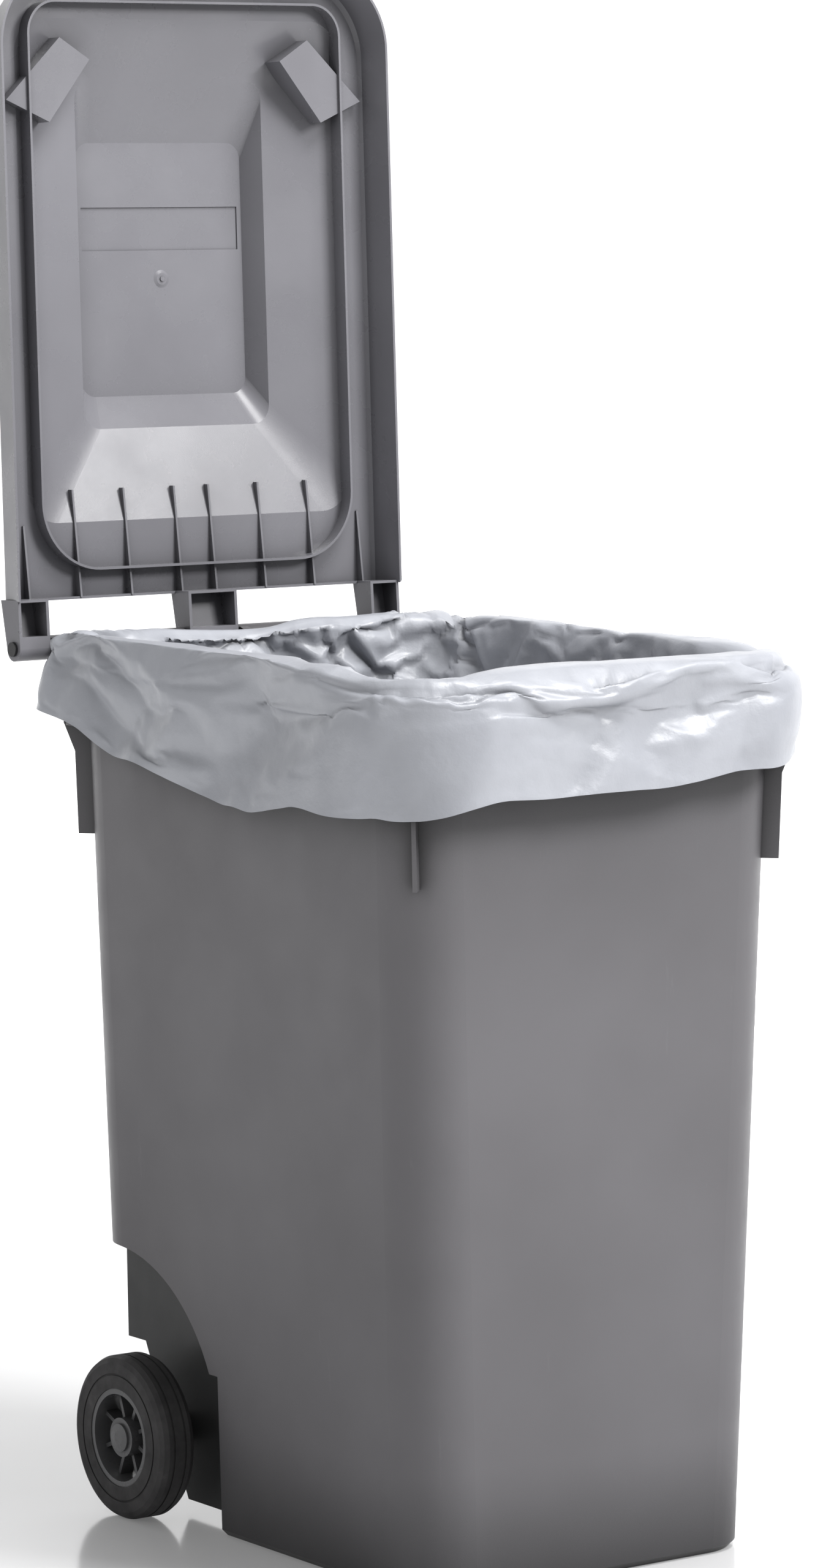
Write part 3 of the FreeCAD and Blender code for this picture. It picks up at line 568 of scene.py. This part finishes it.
def grid_normals(grid):
    """Outward normals of a grid of points that closes on itself along its second axis."""
    along = np.gradient(grid, axis=0)
    around = np.roll(grid, -1, axis=1) - np.roll(grid, 1, axis=1)
    normal = np.cross(along, around)
    return normal / np.maximum(np.linalg.norm(normal, axis=2, keepdims=True), 1e-9)


def soften(heights, passes):
    """Rounds the creases a little, as the film's own stiffness does."""
    for _ in range(passes):
        beside = np.roll(heights, 1, axis=1) + np.roll(heights, -1, axis=1)
        padded = np.pad(heights, ((1, 1), (0, 0)), mode="edge")
        heights = (heights * 2 + beside + padded[2:] + padded[:-2]) / 6
    return heights


def film_lengths(grid, around):
    """Each point's distance along the film: round the rim, and down from the bag's bottom."""
    steps = np.linalg.norm(np.diff(grid, axis=0), axis=2).mean(axis=1)
    down = np.concatenate([[0.0], np.cumsum(steps)])[:, None]
    return np.broadcast_arrays(around[None, :] * sum(rim_run_lengths()), down)


def film_zones(around):
    """How far each point belongs to the bag and to the hanging cuff; the rest is the crest and the rear."""
    rows = np.linspace(0.0, 1.0, ALONG)[:, None]
    at_rear = rear_share(around, REAR_HELD)[None, :]
    in_bag = 1.0 - smooth(0.50, 0.58, rows)
    in_cuff = smooth(0.62, 0.72, rows) * (1 - at_rear)
    return in_bag, in_cuff


def start_folds(grid, around):
    """Pushes the film off its smooth shape a little, so that it knows where to buckle."""
    s, t = film_lengths(grid, around)
    in_bag, in_cuff = film_zones(around)
    loop = sum(rim_run_lengths())
    broad = 1 + soften(crumple(s + 0.5 * t, t * 0.7, loop, 0.085, 5), 2)
    middle = 1 + soften(crumple(s - 0.5 * t, t, loop, 0.040, 8), 1)
    push = in_cuff * (0.010 * broad + 0.003 * middle) + in_bag * (0.012 * broad + 0.003 * middle) + 0.002
    return grid + grid_normals(grid) * push[..., None]


def press_facets(grid, normals, around):
    """Adds the broad flat facets, with sharp folds between them, that handling leaves in the film."""
    s, t = film_lengths(grid, around)
    in_bag, in_cuff = film_zones(around)
    loop = sum(rim_run_lengths())
    sharp = crumple(s + 0.6 * t, t, loop, FACET_SPACING, 21)
    push = (in_cuff + in_bag) * FACET_HEIGHT * sharp
    return grid + normals * push[..., None]


def loop_mesh(name, loops):
    """A mesh of quads between closed loops of points, each with the same count."""
    rows, columns = len(loops), len(loops[0])
    faces = []
    for row in range(rows - 1):
        for column in range(columns):
            after = (column + 1) % columns
            low, high = row * columns, (row + 1) * columns
            faces.append((low + column, low + after, high + after, high + column))
    mesh = bpy.data.meshes.new(name)
    mesh.from_pydata(np.concatenate(loops).tolist(), [], faces)
    mesh.validate()
    piece = bpy.data.objects.new(name, mesh)
    bpy.context.scene.collection.objects.link(piece)
    return piece


def hold_softly(liner, around):
    """Pins the bag's lower part and the rear firmly, the crest softly and the rest hardly at all."""
    rows = np.linspace(0.0, 1.0, ALONG)
    bag = 1.0 - smooth(0.22, 0.34, rows)
    crest = 0.07 * np.exp(-(((rows - 0.60) / 0.05) ** 2))
    held = np.maximum(np.maximum(bag, crest), 0.015)[:, None]
    held = np.maximum(held, rear_share(around, REAR_HELD)[None, :] * (rows > 0.5)[:, None])
    group = liner.vertex_groups.new(name="held")
    for index, weight in enumerate(np.broadcast_to(held, (ALONG, AROUND)).ravel()):
        group.add([index], float(weight), "REPLACE")


def settle(liner):
    """Runs the cloth, whose growth makes the film buckle, and gives its points."""
    cloth = liner.modifiers.new("cloth", "CLOTH")
    settings = cloth.settings
    settings.quality = 5
    settings.mass = 0.2
    settings.tension_stiffness = 15.0
    settings.compression_stiffness = 15.0
    settings.shear_stiffness = 8.0
    settings.bending_stiffness = 1.0
    settings.shrink_min = -FILM_GROWTH
    settings.vertex_group_mass = "held"
    settings.pin_stiffness = 1.0
    settings.effector_weights.gravity = 0.05
    cloth.collision_settings.use_collision = False
    cloth.point_cache.frame_start, cloth.point_cache.frame_end = 1, FRAMES
    scene = bpy.context.scene
    scene.frame_start, scene.frame_end = 1, FRAMES
    for frame_number in range(1, FRAMES + 1):
        scene.frame_set(frame_number)
    settled = liner.evaluated_get(bpy.context.evaluated_depsgraph_get())
    points = np.zeros(len(liner.data.vertices) * 3)
    settled.data.vertices.foreach_get("co", points)
    liner.modifiers.remove(cloth)
    liner.vertex_groups.clear()
    scene.frame_set(1)
    return points


def crumple_by_cloth(liner, smooth_grid, around):
    """Folds the film with a short cloth run, and turns its folds outwards, clear of the tub."""
    hold_softly(liner, around)
    moved = settle(liner).reshape(smooth_grid.shape) - smooth_grid
    normals = grid_normals(smooth_grid)
    out = np.sum(moved * normals, axis=2)
    turned = np.where(out < 0.0, -INWARD_KEPT * out, out)
    turned = FOLD_LIMIT * np.tanh(turned / FOLD_LIMIT)
    sideways = moved - out[..., None] * normals
    placed = smooth_grid + sideways * SIDEWAYS_KEPT + normals * turned[..., None]
    placed = hold_in(press_facets(placed, normals, around), around)
    liner.data.vertices.foreach_set("co", placed.ravel())
    liner.data.update()


def hold_in(grid, around):
    """Keeps the film from standing too far out from the rim, or too high over it."""
    rim, out = rounded_loop(RIM_HALF_WIDTH, RIM_FRONT, RIM_REAR, *RIM_CORNERS, around)
    beyond = np.sum((grid[..., :2] - rim) * out, axis=2)
    fit = min(1.0, BULGE_LIMIT / np.percentile(beyond, BULGE_PERCENT))
    within = soft_limit(np.where(beyond > 0.0, beyond * fit, beyond), BULGE_LIMIT)
    level = grid[..., :2] - (beyond - within)[..., None] * out
    above = grid[..., 2] - RIM_TOP
    height = RIM_TOP + soft_limit(above, CREST_LIMIT)
    return np.concatenate([level, height[..., None]], axis=2)


def soft_limit(values, most):
    """The values unchanged up to four fifths of the most, and then turning softly towards it."""
    start, rest = most * 0.8, most * 0.2
    return np.where(values > start, start + rest * np.tanh((values - start) / rest), values)


def make_liner():
    """The film over the rim, which stands in for the plain CAD liner."""
    around = np.arange(AROUND) / AROUND
    smooth_grid = catmull(liner_knots(around), ALONG)
    grid = start_folds(smooth_grid, around)
    liner = loop_mesh("liner_film", list(grid))
    crumple_by_cloth(liner, smooth_grid, around)
    liner.data.shade_smooth()
    liner.data.materials.append(film("film_silver"))
    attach(liner, "tub")
    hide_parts("bin_liner")


paint_frame()
make_liner()
make_camera()
make_stage()
make_lights()
